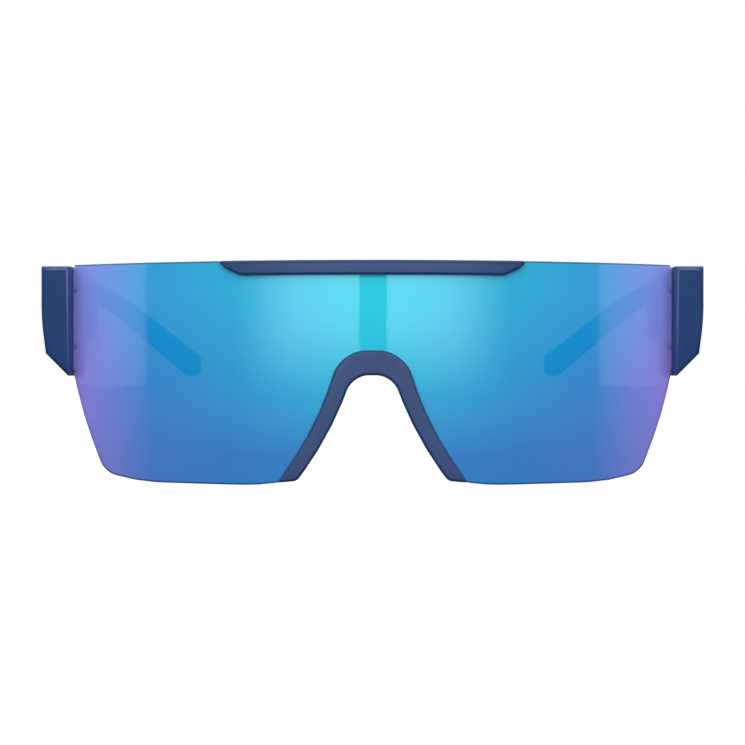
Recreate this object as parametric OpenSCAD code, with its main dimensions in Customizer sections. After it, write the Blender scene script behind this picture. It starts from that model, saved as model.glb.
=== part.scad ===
// Wraparound sport sunglasses: a one-piece shield lens with a brow bar, a nose frame,
// two endpieces and two folding temples.
// Frame: +Z up, the lens faces -Y, the temples run back along +Y, and the wearer's left is +X.
// The origin is under the middle of the whole, level with the lens's lowest edge.

/* [Lens] */
// Radius of the lens's outer face, seen from above
lens_r = 100; // [90:1:118]
// Thickness of the lens
lens_t = 2; // [1.6:0.1:2.4]
// Height from the lens's lowest edge to its flat top edge
lens_h = 48.9; // [44:0.1:58]
// How far in the lens's lower corners are from its upper ones
lens_taper = 7.4; // [4:0.1:10]
// Radius of the lens's lower corners
lens_corner_r = 5; // [2:0.1:6]
// Running gap between the lens and the grooves that hold it
lens_fit = 0.05; // [0.02:0.01:0.1]

/* [Nose frame] */
// Half width inside the arch at its top, before rounding
arch_half_w = 4.28; // [3.5:0.01:6]
// Height of the inside of the arch above the lens's lowest edge
arch_z = 23.9; // [20:0.1:27]
// Half width inside the legs at their feet
leg_half_w = 16.4; // [14:0.1:19]
// Width of the frame over the top of the arch
arch_band = 5.4; // [4.5:0.1:6.5]
// Width of the frame at its feet
foot_band = 4.3; // [3.8:0.1:5.2]
// Width of the solid web between the arch's inside and the lens's edge
nose_web = 1.5; // [1.1:0.1:1.8]
// How far the nose frame stands proud of the lens's outer face
nose_proud = 1.5; // [1.2:0.1:2]
// Thickness of the nose frame behind the lens
nose_rear = 1.6; // [1.4:0.1:2]

/* [Nose pads] */
// Length of a pad along the leg of the nose frame
pad_len = 13; // [9:0.5:14]
// Depth of a pad behind the nose frame
pad_deep = 5.5; // [4:0.1:8]
// Thickness of a pad, away from the nose
pad_t = 2.4; // [1.8:0.1:3]
// Radius of the pegs that hold a pad
peg_r = 0.6; // [0.4:0.05:0.8]
// Length of the pegs that hold a pad
peg_len = 1.2; // [0.8:0.1:1.4]

/* [Brow bar] */
// Half length of the brow bar along its top
bar_half_w = 34; // [26:0.5:40]
// Height of the brow bar
bar_h = 3.2; // [2.8:0.1:5]
// How far the brow bar stands proud of the lens's outer face
bar_proud = 1.6; // [1.3:0.1:2.2]
// Thickness of the brow bar behind the lens
bar_rear = 1; // [0.8:0.1:1.6]
// Thickness of the web that covers the lens's top edge
bar_web = 0.9; // [0.6:0.1:1.2]

/* [Endpieces] */
// Overall width of the sunglasses, across the temples
overall_w = 148.6; // [136:0.2:164]
// Width of an endpiece, seen from the front
end_w = 6.5; // [5.8:0.1:8]
// Height of an endpiece
end_h = 24.6; // [22:0.1:32]
// How far an endpiece's top is below the lens's top edge
end_drop = 0.5; // [0:0.1:1]
// How far an endpiece's front face stands before the lens
end_proud = 7; // [5:0.1:9]
// How far behind the lens's edge the endpiece meets the temple
seam_back = 11.6; // [11:0.1:14]
// Size of the slanting cut under an endpiece
end_cut = 5; // [3:0.1:6]
// How far the lens's tab reaches into an endpiece
tab_w = 3.2; // [2.6:0.1:3.6]
// Thickness of the lip behind the lens
lip_t = 1.2; // [1:0.1:1.6]

/* [Temples] */
// Distance from the seam to a temple's tip, along Y
temple_len = 106; // [98:0.5:124]
// Height of a temple's arm, behind its tall front
arm_h = 4.8; // [4:0.1:6]
// Height of a temple's arm where it bends down
waist_h = 3.6; // [3.4:0.1:5]
// Thickness of a temple's arm
arm_w = 2.8; // [2.6:0.1:3.8]
// Distance from the seam to where the tall front of a temple ends
panel_len = 26; // [22:0.5:34]
// Distance from the tip to where the temple turns in
turn_back = 48.5; // [40:0.5:54]
// Angle that the temple turns in by, seen from above
turn_in = 27.5; // [20:0.5:32]
// Distance from the tip to where the temple turns down
drop_back = 43; // [36:0.5:50]
// Angle that the temple turns down by, seen from the side
drop_down = 25.5; // [18:0.5:32]
// Radius of both bends, along the middle of the arm
bend_r = 58; // [40:1:70]
// Gap between an endpiece and its temple
seam_gap = 0.2; // [0.15:0.05:0.4]

/* [Ear sleeves] */
// Length of an ear sleeve along Y
sleeve_len = 34; // [26:0.5:38]
// Height of an ear sleeve at its tip
sleeve_h = 6.4; // [5.6:0.1:8]
// How far an ear sleeve stands proud of the temple all round, where it starts
sleeve_step = 0.25; // [0.1:0.05:0.5]
// Height of the metal core
core_h = 2; // [1.6:0.1:2.6]
// Thickness of the metal core
core_w = 1.1; // [0.8:0.1:1.3]
// Distance that the core reaches into the temple
core_in = 26; // [16:0.5:30]
// Distance from the end of the core to the tip
core_end = 10; // [8:0.5:14]
// Gap around the core
core_fit = 0.05; // [0.02:0.01:0.1]

/* [Hinges] */
// Radius of the hinge barrels
barrel_r = 1.6; // [1.4:0.05:1.9]
// Radius of the hinge screw's shank
pivot_r = 0.7; // [0.5:0.05:0.9]
// Radial running clearance of the hinge screw
pivot_fit = 0.05; // [0.02:0.01:0.1]
// Height of the hinge
hinge_h = 8; // [7:0.1:10]
// Gap between the hinge's barrels
barrel_gap = 0.1; // [0.05:0.01:0.2]
// Thickness of the hinge leaves
leaf_t = 1; // [0.8:0.1:1.3]
// Length of a hinge leaf on the temple
leaf_len = 8; // [7:0.1:10]
// Clearance between the barrels and the face that the leaves lie on
barrel_clear = 0.25; // [0.2:0.05:0.4]

/* [Screws] */
// Shank radius of the lens screws
lens_screw_r = 0.7; // [0.5:0.05:0.8]
// Shank radius of the small screws
small_screw_r = 0.5; // [0.4:0.05:0.6]
// Thickness of the screw heads
head_t = 0.7; // [0.5:0.05:0.9]
// Radial clearance of a screw in the holes it passes through
screw_fit = 0.05; // [0.02:0.01:0.1]

/* [Hidden] */
$fn = 48;

// Colours
navy = "#2c3f73";
mirror_blue = "#2f9bd0";
steel = "#b9bdc4";
soft_blue = "#26355f";

// Distance from the lens's foremost point back to its outer face at a given half width
function sag(x, r = lens_r) = lens_r - sqrt(r * r - x * x);

// Across the front
half_w = overall_w / 2;
wall_x = half_w - end_w;
tab_x = wall_x + tab_w;
lens_x = wall_x - 0.2;
inner_x = wall_x - 0.8;
lip_x = wall_x - 2;
top_z = lens_h - end_drop;
end_z = top_z - end_h;

// Along the depth
lens_inner_r = lens_r - lens_t;
front_d = sag(wall_x) - end_proud;
seam_d = sag(wall_x) + seam_back;
tip_d = seam_d + temple_len;
sleeve_d = tip_d - sleeve_len;
y_mid = (tip_d - bar_proud) / 2;
deep = tip_d + 20;

// Hinge
axis_x = inner_x - barrel_r - barrel_clear;
hinge_z = top_z - 11.4;
barrel_h = (hinge_h - 2 * barrel_gap) / 3;
leaf_start = barrel_r + barrel_clear;
front_leaf_len = 4.9;

// Screw places
lens_screw_angle = asin((wall_x + 0.56 * tab_w) / lens_r);
lens_screw_z = [hinge_z - 6.4, hinge_z + 6.4];
brow_screw_x = bar_half_w * 0.65;
brow_screw_z = lens_h - bar_h + 1.15;
small_head_r = 1.8 * small_screw_r;
lens_head_r = 1.6 * lens_screw_r;

// ---- Outlines ----

function unit(v) = v / norm(v);
function last(list) = list[len(list) - 1];
function back(path) = [for (i = [len(path) - 1 : -1 : 0]) path[i]];
function flip(path) = [for (p = path) [-p[0], p[1]]];
function tail(path) = [for (i = [1 : len(path) - 1]) path[i]];
function xy(p) = [p[0], p[1]];

// The corner b between a and c, rounded to radius r with a point every few degrees
function corner(a, b, c, r) =
    let (
        u = unit(a - b),
        v = unit(c - b),
        half = acos(u * v) / 2,
        start = b + u * r / tan(half),
        middle = b + unit(u + v) * r / sin(half),
        from = atan2(start[1] - middle[1], start[0] - middle[0]),
        side = u[0] * v[1] - u[1] * v[0] > 0 ? -1 : 1,
        turn = 180 - 2 * half,
        steps = max(2, ceil(turn / 5))
    )
    [for (i = [0 : steps]) middle + r * [cos(from + side * turn * i / steps),
                                         sin(from + side * turn * i / steps)]];

// A path of [x, y, radius] corners with its ends kept and its corners rounded
function rounded(path) = [
    for (i = [0 : len(path) - 1])
        each i == 0 || i == len(path) - 1 || path[i][2] == 0
            ? [xy(path[i])]
            : corner(xy(path[i - 1]), xy(path[i]), xy(path[i + 1]), path[i][2])
];

// A closed symmetric outline from its right half, which starts and ends on the middle line
function symmetric(half) = concat(half, back(flip(tail([for (i = [0 : len(half) - 2]) half[i]]))));

// One edge of a bent strip: its middle line runs along start, bend and end, and the edge
// lies at three offsets from it there
function strip_edge(start, bend, end, r, offsets) =
    let (
        u = unit(bend - start),
        v = unit(end - bend),
        n = [-u[1], u[0]],
        m = [-v[1], v[0]],
        inside = u[0] * v[1] - u[1] * v[0] > 0 ? 1 : -1,
        mitre = (n + m) / (1 + n * m)
    )
    rounded([
        start + n * offsets[0],
        concat(bend + mitre * offsets[1], r - inside * offsets[1]),
        end + m * offsets[2]
    ]);

// A bent strip of given widths at its start, bend and end, with its far corners rounded
function strip(start, bend, end, r, widths, tip_r) =
    let (
        left = strip_edge(start, bend, end, r, widths / 2),
        right = strip_edge(start, bend, end, r, -widths / 2)
    )
    concat(
        [for (i = [0 : len(left) - 2]) left[i]],
        tip_r == 0 ? [last(left), last(right)] : concat(
            corner(left[len(left) - 2], last(left), last(right), tip_r),
            corner(last(left), last(right), right[len(right) - 2], tip_r)
        ),
        back([for (i = [0 : len(right) - 2]) right[i]])
    );

// Right half of the nose opening, from the middle of the arch to the foot, grown by a margin
leg_z = 10;
foot_z = 1;
foot_out_z = 0.6;
leg_slope = (leg_half_w - arch_half_w) / (arch_z - foot_z);
leg_x = arch_half_w + leg_slope * (arch_z - leg_z) - 2;
function nose_inside(grow = 0) = [
    [0, arch_z + grow, 0],
    [arch_half_w + 0.8 * grow, arch_z + grow, 5 + 0.6 * grow],
    [leg_x + 1.15 * grow, leg_z, 62]
];
nose_outside = [
    [0, arch_z + arch_band, 0],
    [arch_half_w + 2.5, arch_z + arch_band, 7.4],
    [leg_x + 2.6, leg_z + 3.2, 57],
    [leg_half_w + foot_band, foot_out_z, 0]
];

// Right half of the lens's outline, from the top of the middle round to the nose notch
tab_top_z = top_z - 1;
tab_foot_z = end_z + 1.2;
low_x = lens_x - lens_taper;
rebate_x = bar_half_w - 1.3;
notch_foot_x = leg_half_w + 1.3 * nose_web;
lens_right = rounded(concat(
    [
        [0, lens_h - bar_web, 0],
        [rebate_x, lens_h - bar_web, 0],
        [rebate_x, lens_h, 0],
        [lens_x, lens_h, 0],
        [lens_x, tab_top_z, 0],
        [tab_x, tab_top_z, 0],
        [tab_x, tab_foot_z + tab_x - lens_x, 0],
        [lens_x, tab_foot_z, 0],
        [lens_x - 0.05, end_z, 0],
        [lens_x - 2.2, end_z * 0.63, 70],
        [low_x, 2.35, lens_corner_r],
        [low_x - 7.6, 0.3, 38],
        [leg_half_w + foot_band + 4, -0.04, 40],
        [leg_half_w + foot_band, foot_out_z, 0],
        [notch_foot_x, foot_z - 0.1, 0]
    ],
    back(nose_inside(nose_web))
));

// ---- Building blocks ----

// Moves a piece drawn with the lens's foremost point at Y = 0 to its place about the origin
module placed() {
    translate([0, -y_mid, 0])
        children();
}

// A piece drawn for the wearer's left, at +X, or mirrored to the right
module on_side(side) {
    placed()
        mirror([side < 0 ? 1 : 0, 0, 0])
            children();
}

// Extrudes an X-Z outline along Y
module through_y(from, to) {
    translate([0, to, 0])
        rotate([90, 0, 0])
            linear_extrude(to - from)
                children();
}

// Extrudes a Y-Z outline along X
module through_x(from, to) {
    translate([from, 0, 0])
        rotate([90, 0, 90])
            linear_extrude(to - from)
                children();
}

// A round wall about the lens's own axis
module lens_wall(inner, outer) {
    translate([0, lens_r, -20])
        difference() {
            cylinder(r = outer, h = lens_h + 40, $fn = 180);
            translate([0, 0, -1])
                cylinder(r = inner, h = lens_h + 42, $fn = 180);
        }
}

// The part of a lens wall that an X-Z outline covers
module on_lens(inner, outer) {
    intersection() {
        lens_wall(inner, outer);
        through_y(-10, seam_d + 10)
            children();
    }
}

// A rod square to the lens, from one distance from the lens's axis out to another
module lens_rod(angle, z, r, from, to) {
    translate([0, lens_r, z])
        rotate([0, 0, angle])
            translate([0, -from, 0])
                rotate([90, 0, 0])
                    cylinder(r = r, h = to - from, $fn = 24);
}

// A slotted screw along +Z, with its head below Z = 0
module screw(r, head_r, length) {
    difference() {
        union() {
            translate([0, 0, -head_t])
                cylinder(r = head_r, h = head_t, $fn = 32);
            cylinder(r = r, h = length, $fn = 24);
        }
        translate([-head_r, -0.15, -head_t - 1])
            cube([2 * head_r, 0.3, 1.3]);
    }
}

// A screw square to the lens, with its head's seat at a given distance from the lens's axis
module lens_screw(angle, z, r, head_r, seat, length) {
    translate([0, lens_r, z])
        rotate([0, 0, angle])
            translate([0, -seat, 0])
                rotate([90, 0, 0])
                    screw(r, head_r, length);
}

// Everything on one side of a plane through a point
module half_space(point, normal) {
    translate(point)
        rotate([0, acos(normal[2] / norm(normal)), atan2(normal[1], normal[0])])
            translate([-60, -60, 0])
                cube([120, 120, 60]);
}

// ---- Front ----

// Seats and lengths of the screws that go through the lens, from behind
brow_seat = lens_inner_r - bar_rear;
nose_seat = lens_inner_r - nose_rear;
lip_seat = lens_inner_r - lip_t;
brow_screw_len = bar_rear + lens_t + bar_proud - 0.5;
nose_screw_len = nose_rear + lens_t + nose_proud - 0.5;
lens_screw_len = lip_t + lens_t + 3;
nose_foot_z = 3.6;
nose_foot_x = leg_half_w + 0.2;
nose_screw_places = [
    [0, arch_z + nose_web + 1.6],
    [asin(nose_foot_x / lens_r), nose_foot_z],
    [-asin(nose_foot_x / lens_r), nose_foot_z]
];
brow_angle = asin(brow_screw_x / lens_r);

module shield_lens() {
    color(mirror_blue, 0.8)
        placed()
            difference() {
                on_lens(lens_inner_r, lens_r)
                    polygon(symmetric(lens_right));
                for (side = [-1, 1]) {
                    lens_rod(side * brow_angle, brow_screw_z, small_screw_r + screw_fit,
                             lens_inner_r - 1, lens_r + 1);
                    for (z = lens_screw_z)
                        lens_rod(side * lens_screw_angle, z, lens_screw_r + screw_fit,
                                 lens_inner_r - 1, lens_r + 1);
                }
                for (place = nose_screw_places)
                    lens_rod(place[0], place[1], small_screw_r + screw_fit,
                             lens_inner_r - 1, lens_r + 1);
            }
}

// Right half of the brow bar's outline: its ends slant in under the top edge
bar_right = rounded([
    [0, lens_h, 0],
    [bar_half_w, lens_h, 0.5],
    [bar_half_w - 2, lens_h - 0.55 * bar_h, 3],
    [bar_half_w - 5.2, lens_h - bar_h, 1.5],
    [0, lens_h - bar_h, 0]
]);

module brow_bar() {
    color(navy)
        placed()
            difference() {
                on_lens(brow_seat, lens_r + bar_proud)
                    polygon(symmetric(bar_right));
                on_lens(lens_inner_r - lens_fit, lens_r + lens_fit)
                    translate([-half_w, lens_h - bar_web + lens_fit - 20])
                        square([overall_w, 20]);
                on_lens(lens_inner_r - lens_fit, lens_r + lens_fit)
                    for (side = [-1, 1])
                        translate([side * (half_w / 2 + rebate_x) - half_w / 2, lens_h - 20])
                            square([half_w, 30]);
                for (side = [-1, 1])
                    lens_rod(side * brow_angle, brow_screw_z, small_screw_r,
                             brow_seat - 1, brow_seat + brow_screw_len);
            }
}

module brow_screws() {
    color(steel)
        placed()
            for (side = [-1, 1])
                lens_screw(side * brow_angle, brow_screw_z, small_screw_r, small_head_r,
                           brow_seat, brow_screw_len);
}

// Outline of the nose frame: a band over the arch and down both legs
nose_outer_right = rounded(nose_outside);
nose_inner_right = rounded(concat(
    nose_inside(),
    [[leg_half_w, foot_z, 1.8], [leg_half_w + foot_band, foot_out_z, 0]]
));
nose_band = concat(
    nose_outer_right,
    back(nose_inner_right),
    flip(tail(nose_inner_right)),
    back(flip(tail(nose_outer_right)))
);

// Where the pegs of a nose pad sit on the leg
pad_mid_z = 12.2;
function leg_at(z) = leg_x + (leg_half_w - leg_x) * (leg_z - z) / (leg_z - foot_z) * 0.98;
function pad_x(z) = z > leg_z
    ? leg_x - (leg_x - arch_half_w) * (z - leg_z) / (arch_z - leg_z)
    : leg_at(z);
peg_z = [pad_mid_z - 0.28 * pad_len, pad_mid_z + 0.28 * pad_len];

module pad_pegs(r, from) {
    for (z = peg_z)
        lens_rod(asin((pad_x(z) + 1.6) / lens_r), z, r, from, nose_seat + peg_len);
}

module nose_frame() {
    color(navy)
        placed()
            difference() {
                on_lens(nose_seat, lens_r + nose_proud)
                    polygon(nose_band);
                on_lens(lens_inner_r - lens_fit, lens_r + lens_fit)
                    difference() {
                        translate([-half_w, -5])
                            square([overall_w, lens_h]);
                        polygon(symmetric(concat(
                            rounded(concat(nose_inside(nose_web - lens_fit),
                                [[notch_foot_x - lens_fit, foot_z - 0.1, 0]])),
                            [[notch_foot_x - lens_fit, -6], [0, -6]]
                        )));
                    }
                for (place = nose_screw_places)
                    lens_rod(place[0], place[1], small_screw_r,
                             nose_seat - 1, nose_seat + nose_screw_len);
                for (side = [0, 1])
                    mirror([side, 0, 0])
                        pad_pegs(peg_r, nose_seat - 2);
            }
}

module nose_screws() {
    color(steel)
        placed()
            for (place = nose_screw_places)
                lens_screw(place[0], place[1], small_screw_r, small_head_r,
                           nose_seat, nose_screw_len);
}

// A soft pad behind a leg of the nose frame: it follows the leg and opens out to the back
module nose_pad(side) {
    low = pad_mid_z - pad_len / 2;
    high = pad_mid_z + pad_len / 2;
    on_side(side) {
        difference() {
            hull() {
                for (z = [low + pad_t / 2, pad_mid_z, high - pad_t / 2])
                    translate([pad_x(z) + pad_t / 2 + 0.35, 3.5, z])
                        sphere(d = pad_t, $fn = 20);
                for (z = [low + 2, high - 2.6])
                    translate([pad_x(z) + pad_t / 2 + 1.7, 3.2 + pad_deep, z])
                        sphere(d = pad_t, $fn = 20);
            }
            lens_wall(nose_seat, lens_r + 20);
        }
        pad_pegs(peg_r, nose_seat - 1.4);
    }
}

module nose_pad_left() {
    color(soft_blue)
        nose_pad(1);
}

module nose_pad_right() {
    color(soft_blue)
        nose_pad(-1);
}

// ---- Endpieces ----

// Cross-section shared by the endpiece and the temple, from the inner edge at a given X
// and from a given height: an upright outer face that leans in below, and a slanting cut
function side_section(x, z) = rounded([
    [x, z, 0],
    [wall_x + 0.5 - (end_z - z), z, 0],
    [wall_x + 0.5 + end_cut, end_z + end_cut, 0.8],
    [half_w, end_z + end_cut + 7.6, 40],
    [half_w, top_z, 0.5],
    [x, top_z, 0]
]);

module endpiece(side) {
    color(navy)
        on_side(side)
            difference() {
                through_y(front_d, seam_d)
                    polygon(side_section(lip_x, end_z));
                // The space before the lens, inboard of the wall
                intersection() {
                    lens_wall(lens_inner_r - lens_fit, lens_r + 60);
                    translate([0, -5, -5])
                        cube([wall_x, deep, lens_h + 10]);
                }
                // The slot for the lens's tab
                on_lens(lens_inner_r - lens_fit, lens_r + lens_fit)
                    polygon([
                        [wall_x - 1, tab_top_z + lens_fit],
                        [tab_x + lens_fit, tab_top_z + lens_fit],
                        [tab_x + lens_fit, tab_foot_z + tab_x - lens_x - 2 * lens_fit],
                        [wall_x - 1, tab_foot_z - 1 + 0.1]
                    ]);
                // The inner face behind the lip
                intersection() {
                    translate([0, lens_r, -10])
                        cylinder(r = lip_seat, h = lens_h + 20, $fn = 180);
                    translate([0, 0, -5])
                        cube([inner_x, deep, lens_h + 10]);
                }
                for (z = lens_screw_z) {
                    lens_rod(lens_screw_angle, z, lens_screw_r,
                             lip_seat - 1, lip_seat + lens_screw_len);
                    lens_rod(lens_screw_angle, z, lens_head_r + 2 * screw_fit,
                             lip_seat - 8, lip_seat);
                }
                front_leaf_holes();
            }
}

module endpiece_left() {
    endpiece(1);
}

module endpiece_right() {
    endpiece(-1);
}

module lens_screws() {
    color(steel)
        placed()
            for (side = [-1, 1])
                for (z = lens_screw_z)
                    lens_screw(side * lens_screw_angle, z, lens_screw_r, lens_head_r,
                               lip_seat, lens_screw_len);
}

// ---- Hinges ----

leaf_screw_len = leaf_t + 2;
front_leaf_screw_y = seam_d - leaf_start - front_leaf_len / 2;
front_leaf_screw_z = [hinge_z - 2.1, hinge_z + 2.1];
temple_leaf_screw_y = [seam_d + leaf_start + 1.9, seam_d + leaf_start + leaf_len - 1.9];

// A screw into a leaf from the inside, pointing outwards along +X
module leaf_screw(y, z) {
    translate([inner_x - leaf_t, y, z])
        rotate([0, 90, 0])
            screw(small_screw_r, small_head_r, leaf_screw_len);
}

module leaf_hole(y, z) {
    translate([inner_x - leaf_t - 1, y, z])
        rotate([0, 90, 0])
            cylinder(r = small_screw_r, h = leaf_screw_len + 1, $fn = 24);
}

module front_leaf_holes() {
    for (z = front_leaf_screw_z)
        leaf_hole(front_leaf_screw_y, z);
}

module temple_leaf_holes() {
    for (y = temple_leaf_screw_y)
        leaf_hole(y, hinge_z);
}

// One barrel with the tongue that joins it to its leaf, which lies before or behind the axis
module barrel(z, toward) {
    tongue_y = toward < 0 ? -leaf_start : 0;
    translate([axis_x, seam_d, z]) {
        cylinder(r = barrel_r, h = barrel_h, $fn = 40);
        translate([barrel_r + barrel_clear - leaf_t, tongue_y, 0])
            cube([leaf_t - 0.1, leaf_start, barrel_h]);
    }
}

module pivot_hole() {
    translate([axis_x, seam_d, hinge_z - hinge_h])
        cylinder(r = pivot_r + pivot_fit, h = 2 * hinge_h, $fn = 32);
}

hinge_low = hinge_z - hinge_h / 2;

module front_leaf(side) {
    color(steel)
        on_side(side)
            difference() {
                union() {
                    for (i = [0, 2])
                        barrel(hinge_low + i * (barrel_h + barrel_gap), -1);
                    translate([inner_x - leaf_t, seam_d - leaf_start - front_leaf_len, hinge_low])
                        cube([leaf_t, front_leaf_len, hinge_h]);
                }
                pivot_hole();
                front_leaf_holes();
            }
}

module front_leaf_left() {
    front_leaf(1);
}

module front_leaf_right() {
    front_leaf(-1);
}

module front_leaf_screws() {
    color(steel)
        for (side = [-1, 1])
            on_side(side)
                for (z = front_leaf_screw_z)
                    leaf_screw(front_leaf_screw_y, z);
}

module hinge_screw(side) {
    color(steel)
        on_side(side)
            translate([axis_x, seam_d, hinge_z + hinge_h / 2])
                rotate([180, 0, 0])
                    screw(pivot_r, barrel_r - 0.2, hinge_h + 0.3);
}

module hinge_screw_left() {
    hinge_screw(1);
}

module hinge_screw_right() {
    hinge_screw(-1);
}

module temple_leaf(side) {
    color(steel)
        on_side(side)
            difference() {
                union() {
                    barrel(hinge_low + barrel_h + barrel_gap, 1);
                    translate([inner_x - leaf_t, seam_d + leaf_start, hinge_low])
                        cube([leaf_t, leaf_len, hinge_h]);
                }
                pivot_hole();
                temple_leaf_holes();
            }
}

module temple_leaf_left() {
    temple_leaf(1);
}

module temple_leaf_right() {
    temple_leaf(-1);
}

module temple_screws(side) {
    color(steel)
        on_side(side)
            for (y = temple_leaf_screw_y)
                leaf_screw(y, hinge_z);
}

module temple_screws_left() {
    temple_screws(1);
}

module temple_screws_right() {
    temple_screws(-1);
}

// ---- Temples ----

// Middle line of the arm, seen from above as [X, Y] and from the side as [Y, Z]
arm_x = half_w - arm_w / 2;
plan_start = [arm_x, seam_d + panel_len - 4];
plan_bend = [arm_x, tip_d - turn_back];
plan_tip = plan_bend + turn_back * [-tan(turn_in), 1];
arm_z = top_z - arm_h / 2;
rise_start = [seam_d + panel_len - 4, arm_z];
rise_bend = [tip_d - drop_back, arm_z];
rise_tip = rise_bend + drop_back * [1, -tan(drop_down)];

// A length of the arm between two distances along Y, of given heights behind the panel, at
// the bend and at the tip, and a given thickness, with its end rounded in both views
module arm_length(heights, w, from, to, side_r = 0, plan_r = 0) {
    intersection() {
        through_x(0, half_w + 10)
            polygon(strip(rise_start, rise_bend, rise_tip, bend_r, heights, side_r));
        linear_extrude(lens_h + 40)
            polygon(strip(plan_start, plan_bend, plan_tip, bend_r, [w, w, w], plan_r));
        translate([0, from, 0])
            cube([half_w + 10, to - from, lens_h + 20]);
    }
}

// The slot for the metal core between two distances along Y
module core_space(from, to) {
    space_h = core_h + 2 * core_fit;
    arm_length([space_h, space_h, space_h], core_w + 2 * core_fit, from, to);
}

// The tall front of the temple, from the seam to where the plain arm starts
module temple_panel() {
    start = seam_d + seam_gap;
    panel_d = seam_d + panel_len;
    leaf_end = seam_d + leaf_start + leaf_len + 1;
    difference() {
        intersection() {
            through_x(inner_x - 1, half_w + 1)
                polygon(rounded([
                    [start, top_z, 0],
                    [start, end_z, 0],
                    [start + 2.5, end_z, 5],
                    [panel_d, top_z - arm_h, 14],
                    [panel_d + 8, top_z - arm_h, 0],
                    [panel_d + 8, top_z, 0]
                ]));
            linear_extrude(lens_h + 40)
                polygon(rounded([
                    [inner_x, start, 0],
                    [inner_x, leaf_end, 12],
                    [half_w - arm_w, panel_d, 20],
                    [half_w - arm_w, panel_d + 8, 0],
                    [half_w, panel_d + 8, 0],
                    [half_w, start, 0]
                ]));
            through_y(seam_d, panel_d + 8)
                polygon(side_section(inner_x - 1, end_z - 1));
        }
        // The slanting cut runs up the rising lower edge and dies out
        half_space(
            [wall_x + 0.5, seam_d, end_z],
            cross([end_cut - 0.2, panel_len, end_h - arm_h], [1, 0, 1])
        );
    }
}

module temple(side) {
    color(navy)
        on_side(side)
            difference() {
                union() {
                    temple_panel();
                    arm_length([arm_h, waist_h, sleeve_h - 2 * sleeve_step], arm_w,
                               seam_d + panel_len + 2, sleeve_d);
                }
                core_space(sleeve_d - core_in - core_fit, sleeve_d + 1);
                temple_leaf_holes();
            }
}

module temple_core(side) {
    color(steel)
        on_side(side)
            arm_length([core_h, core_h, core_h], core_w,
                       sleeve_d - core_in, tip_d - core_end);
}

module ear_sleeve(side) {
    color(soft_blue)
        on_side(side)
            difference() {
                arm_length([arm_h, waist_h + 2 * sleeve_step, sleeve_h],
                           arm_w + 2 * sleeve_step,
                           sleeve_d, tip_d + 10, 0.45 * sleeve_h, 0.45 * arm_w);
                core_space(sleeve_d - 1, tip_d - core_end + core_fit);
            }
}

module temple_left() {
    temple(1);
}

module temple_right() {
    temple(-1);
}

module temple_core_left() {
    temple_core(1);
}

module temple_core_right() {
    temple_core(-1);
}

module ear_sleeve_left() {
    ear_sleeve(1);
}

module ear_sleeve_right() {
    ear_sleeve(-1);
}

shield_lens();
brow_bar();
brow_screws();
nose_frame();
nose_screws();
nose_pad_left();
nose_pad_right();
endpiece_left();
endpiece_right();
lens_screws();
front_leaf_left();
front_leaf_right();
front_leaf_screws();
hinge_screw_left();
hinge_screw_right();
temple_left();
temple_leaf_left();
temple_screws_left();
temple_core_left();
ear_sleeve_left();
temple_right();
temple_leaf_right();
temple_screws_right();
temple_core_right();
ear_sleeve_right();
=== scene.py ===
import math

import bmesh
import bpy
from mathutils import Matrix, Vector


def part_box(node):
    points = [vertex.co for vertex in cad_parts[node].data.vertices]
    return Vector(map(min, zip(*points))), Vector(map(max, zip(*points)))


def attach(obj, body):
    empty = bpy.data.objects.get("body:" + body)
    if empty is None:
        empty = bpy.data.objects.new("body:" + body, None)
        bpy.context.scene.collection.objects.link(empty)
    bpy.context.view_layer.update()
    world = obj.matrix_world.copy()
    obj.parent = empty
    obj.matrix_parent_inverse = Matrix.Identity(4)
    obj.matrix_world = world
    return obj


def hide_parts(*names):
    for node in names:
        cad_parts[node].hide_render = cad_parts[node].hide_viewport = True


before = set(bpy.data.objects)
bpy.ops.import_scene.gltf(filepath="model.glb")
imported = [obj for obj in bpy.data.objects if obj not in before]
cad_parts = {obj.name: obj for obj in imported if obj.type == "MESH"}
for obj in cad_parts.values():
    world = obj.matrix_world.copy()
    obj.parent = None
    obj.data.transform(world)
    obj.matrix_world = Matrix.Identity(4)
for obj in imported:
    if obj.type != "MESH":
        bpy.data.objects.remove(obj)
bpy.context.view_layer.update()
MM = 0.001

# ---- Mirror lens ----
# A one-piece shield cut from a rolled polycarbonate sheet, with a vacuum-coated blue mirror on
# its front and a smoke tint behind it. Its edges are polished, and its side tabs sit in the
# slots of the endpieces.

lens_low, lens_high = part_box("shield_lens")
LENS_R = 100 * MM
LENS_T = 2 * MM
LENS_AXIS_Y = lens_low.y + LENS_R
LENS_TOP = lens_high.z
lens_tab_x = lens_high.x
lens_side_x = lens_tab_x - 3.4 * MM
lens_edge_polish = 0.32 * MM
tab_top_z = LENS_TOP - 1.5 * MM
tab_foot_z = LENS_TOP - 23.9 * MM
notch_half_w = 5.48 * MM
notch_top_z = 25.4 * MM
notch_foot_x = 18.35 * MM


def deselect():
    """Clears the selection, so that an operator reaches the new piece only."""
    if bpy.context.mode != "OBJECT":
        bpy.ops.object.mode_set(mode="OBJECT")
    bpy.ops.object.select_all(action="DESELECT")


def pick(piece):
    """Makes a piece the only selected one."""
    deselect()
    piece.select_set(True)
    bpy.context.view_layer.objects.active = piece


def apply(piece, kind, **settings):
    """Adds a modifier to a piece and applies it."""
    pick(piece)
    step = piece.modifiers.new(kind.title(), kind)
    for name, value in settings.items():
        setattr(step, name, value)
    bpy.ops.object.modifier_apply(modifier=step.name)


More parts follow.
